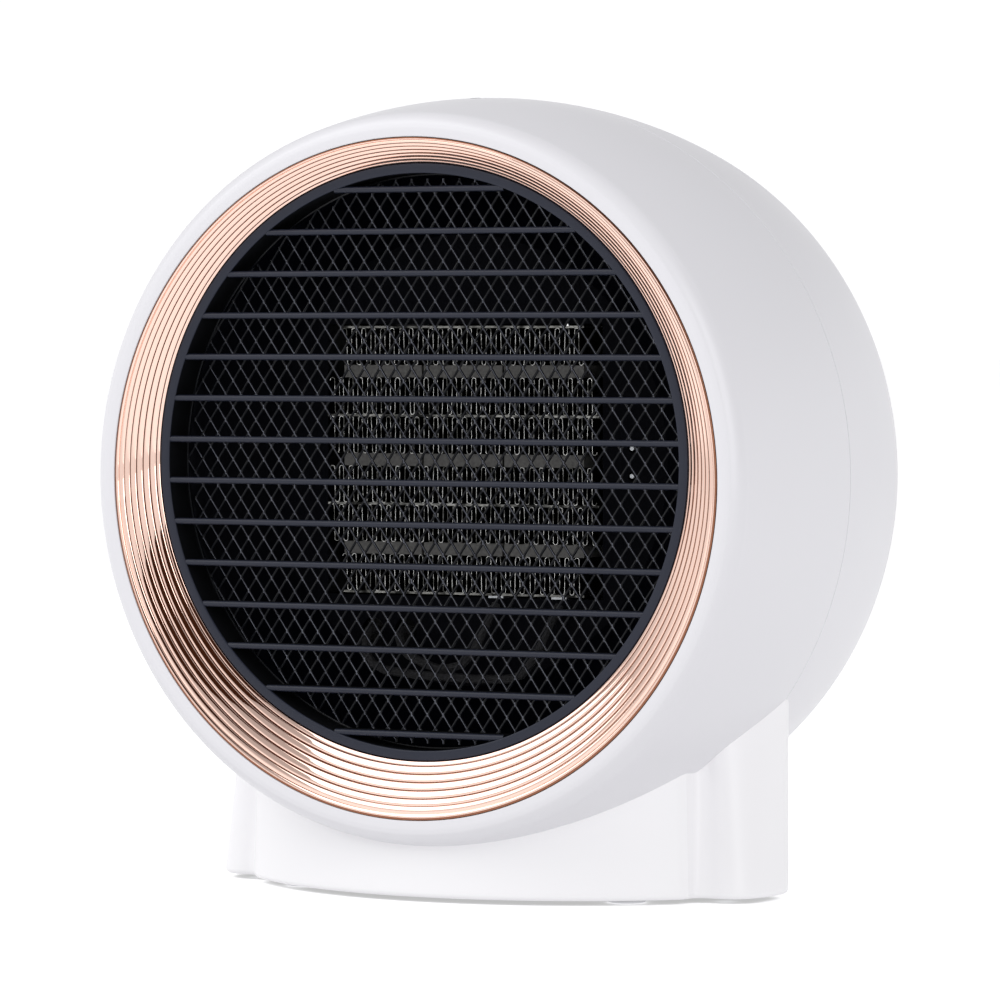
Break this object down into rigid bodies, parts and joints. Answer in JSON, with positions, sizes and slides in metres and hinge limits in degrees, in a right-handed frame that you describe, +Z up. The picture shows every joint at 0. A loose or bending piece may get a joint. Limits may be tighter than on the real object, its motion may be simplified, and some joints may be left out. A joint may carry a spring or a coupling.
{
  "type": "ceramic space heater",
  "caption": "Round table-top ceramic fan heater: barrel-shaped white body on a low stand, rose-gold stepped ring round a black slatted air outlet, push button on top.",
  "frame": {"origin": "middle of the overall box in plan, on the plane of the rubber feet", "axes": "+Z up; the air outlet faces -Y and the cord inlet +Y; +X is to the right seen from the front"},
  "size_m": [0.184, 0.1196, 0.193],
  "materials": {
    "shell_white": "satin-gloss moulded ABS",
    "stand_white": "satin-gloss moulded ABS",
    "trim_gold": "mirror-bright rose-gold plating on moulded plastic",
    "grille_black": "satin heat-resistant black nylon",
    "guard_black": "black-coated expanded steel",
    "duct_black": "heat-resistant black polyester",
    "fin_aluminium": "bright corrugated strip",
    "ptc_ceramic": "grey sintered ceramic",
    "steel": "zinc plated",
    "brass": "sintered bronze or turned brass",
    "rubber_black": "matt moulded rubber",
    "board_green": "solder-masked laminate",
    "lens_clear": "diffusing acrylic",
    "relay_blue": "moulded case",
    "film_capacitor": "moulded case",
    "wire_white": "glass-braid sleeve",
    "wire_red": "insulated wire",
    "fuse_cream": "glazed tube with tinned leads"
  },
  "bodies": {
    "heater": {"front_shell": "shell_white", "rear_shell": "shell_white", "base_stand": "stand_white", "base_plate": "duct_black", "rubber_feet": "rubber_black", "trim_ring": "trim_gold", "front_grille": "grille_black", "guard_mesh": "guard_black", "outlet_funnel": "duct_black", "ptc_frame": "duct_black", "ptc_fins": "fin_aluminium", "ptc_ceramics": "ptc_ceramic", "ptc_plates": "fin_aluminium", "ptc_terminals": "steel", "thermostat": "duct_black", "thermostat_screws": "steel", "thermal_fuse": "fuse_cream", "air_duct": "duct_black", "motor_can": "steel", "motor_bushes": "brass", "motor_bracket": "duct_black", "motor_screws": "steel", "duct_screws": "steel", "funnel_screws": "steel", "shell_screws": "steel", "stand_screws": "steel", "plate_screws": "steel", "rear_grille": "shell_white", "button_board": "board_green", "board_screws": "steel", "tact_switch": "duct_black", "indicator_lens": "lens_clear", "indicator_led": "lens_clear", "power_board": "board_green", "relay": "relay_blue", "capacitor": "film_capacitor", "terminal_block": "board_green", "cord_gland": "grille_black", "tip_switch": "duct_black", "heater_leads": "wire_white", "motor_leads": "wire_red"},
    "fan": {"impeller": "grille_black", "impeller_nut": "brass", "motor_shaft": "steel"},
    "button": {"control_button": "shell_white"},
    "plunger": {"tip_plunger": "lens_clear"}
  },
  "joints": [
    {"name": "fan_spin", "type": "hinge", "parent": "heater", "child": "fan", "pos_m": [0, 0, 0.1049], "axis": [0, 1, 0], "continuous": true},
    {"name": "button_press", "type": "slide", "parent": "heater", "child": "button", "axis": [0, 0, -1], "range_m": [0, 0.0012], "stiffness_N_per_m": 500, "springref_m": -0.0006},
    {"name": "plunger_slide", "type": "slide", "parent": "heater", "child": "plunger", "axis": [0, 0, -1], "range_m": [0, 0.003], "stiffness_N_per_m": 70, "springref_m": 0.006}
  ]
}
